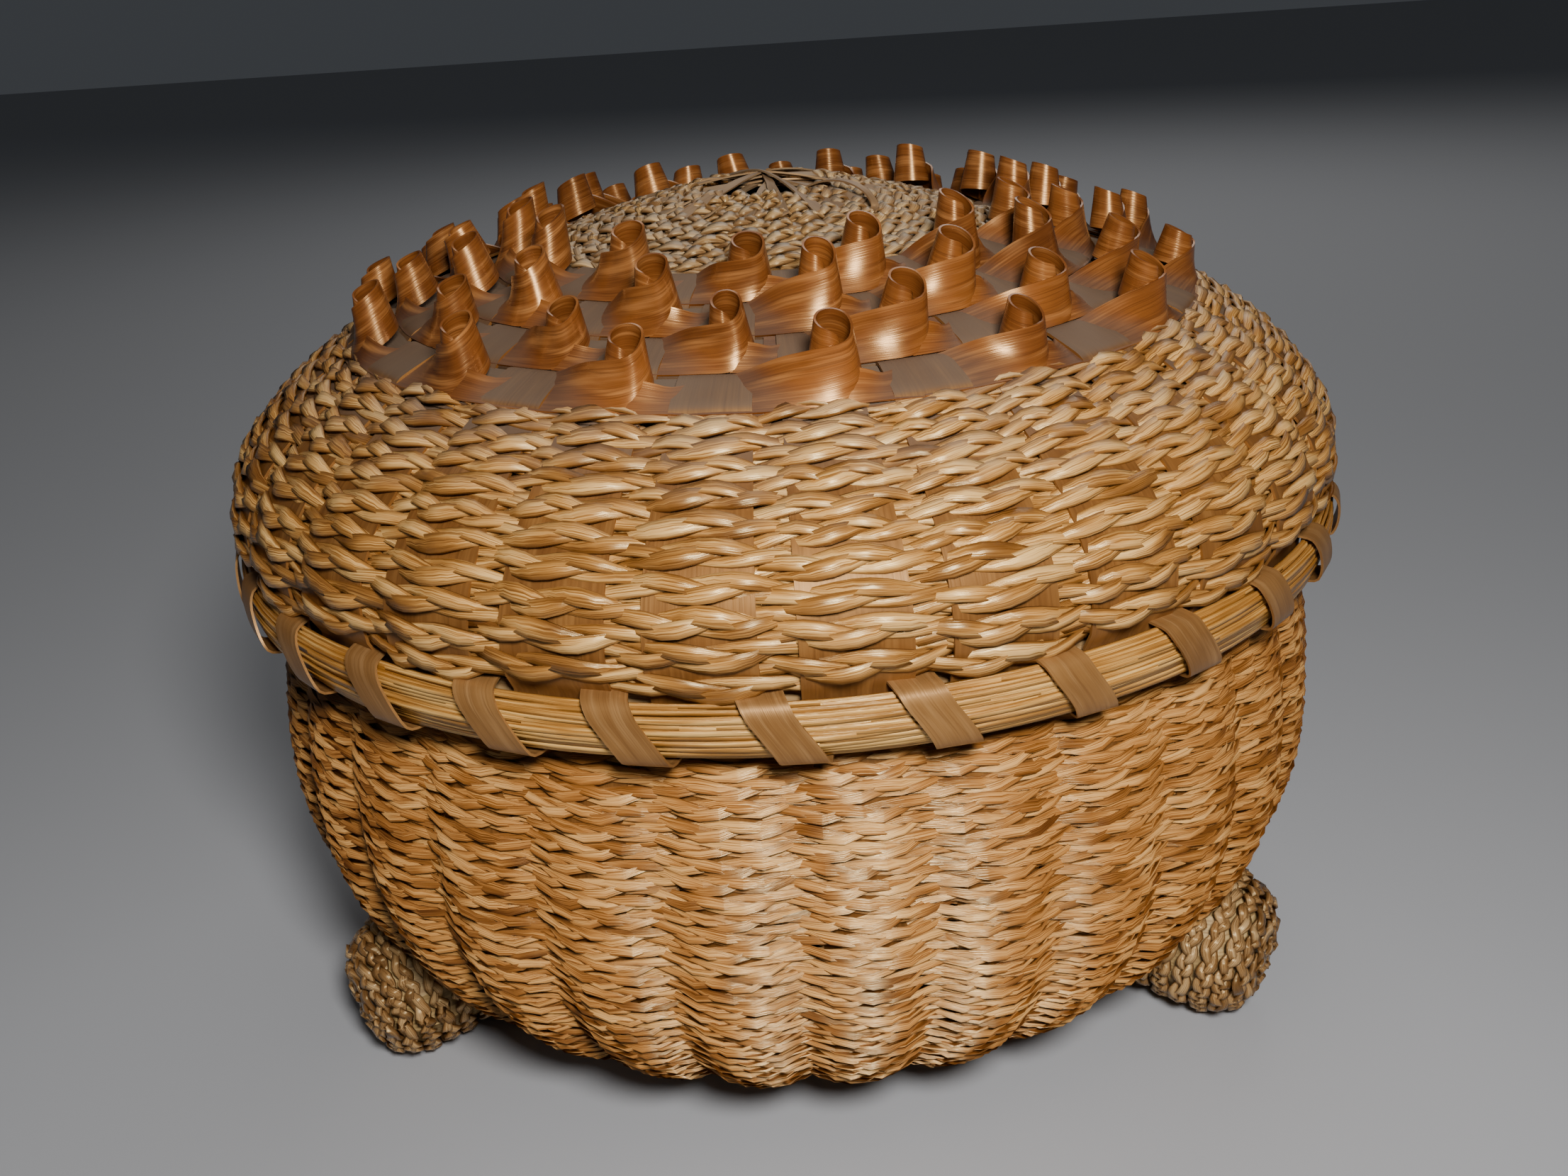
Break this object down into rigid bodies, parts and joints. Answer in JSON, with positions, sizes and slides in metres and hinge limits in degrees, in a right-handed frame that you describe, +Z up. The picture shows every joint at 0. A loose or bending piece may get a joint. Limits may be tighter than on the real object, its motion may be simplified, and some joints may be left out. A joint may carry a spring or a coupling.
{
  "type": "lidded basket",
  "caption": "Round woven basket with a domed lid of standing splint curls, a lashed grass rim, and short woven feet under the bowl.",
  "frame": {"origin": "on the table, under the middle of the basket", "axes": "+Z up through the middle of the lid, -Y towards the front, between the two front feet"},
  "size_m": [0.2046, 0.204, 0.1521],
  "materials": {
    "sweetgrass_braid": "satin dried grass braid",
    "sweetgrass_bundle": "satin loose dried grass",
    "ash_stake": "thin split ash, matt",
    "ash_lashing": "thin split ash, satin",
    "ash_curl": "thin split ash, glossy",
    "ash_weathered": "thin split ash, dusty"
  },
  "bodies": {
    "basket": {"base_weave": "ash_weathered", "body_weave": "sweetgrass_braid", "body_stakes": "ash_stake", "body_rim_hoop_outer": "ash_stake", "body_rim_hoop_inner": "ash_stake", "body_rim_lashing": "ash_lashing", "foot_cover_front_left": "sweetgrass_braid", "foot_core_front_left": "sweetgrass_bundle", "foot_tail_front_left": "sweetgrass_bundle", "foot_cover_front_right": "sweetgrass_braid", "foot_core_front_right": "sweetgrass_bundle", "foot_tail_front_right": "sweetgrass_bundle", "foot_cover_back": "sweetgrass_braid", "foot_core_back": "sweetgrass_bundle", "foot_tail_back": "sweetgrass_bundle"},
    "lid": {"lid_rim_bundle": "sweetgrass_bundle", "lid_rim_hoop": "ash_stake", "lid_rim_lashing": "ash_lashing", "lid_side_weave": "sweetgrass_braid", "lid_stakes": "ash_stake", "lid_centre_weave": "sweetgrass_braid", "lid_splint_row_1": "ash_weathered", "lid_splint_row_2": "ash_weathered", "lid_splint_row_3": "ash_weathered", "lid_splint_row_4": "ash_weathered", "lid_curled_row_1": "ash_curl", "lid_curled_row_2": "ash_curl", "lid_curled_row_3": "ash_curl", "lid_curled_row_4": "ash_curl", "lid_centre_strip_1": "ash_weathered", "lid_centre_strip_2": "ash_weathered", "lid_centre_strip_3": "ash_weathered", "lid_centre_strip_4": "ash_weathered", "lid_centre_strip_5": "ash_weathered", "lid_centre_strip_6": "ash_weathered"}
  },
  "joints": [
    {"name": "lid_lift", "type": "slide", "parent": "basket", "child": "lid", "axis": [0, 0, 1], "range_m": [0, 0.12]}
  ]
}
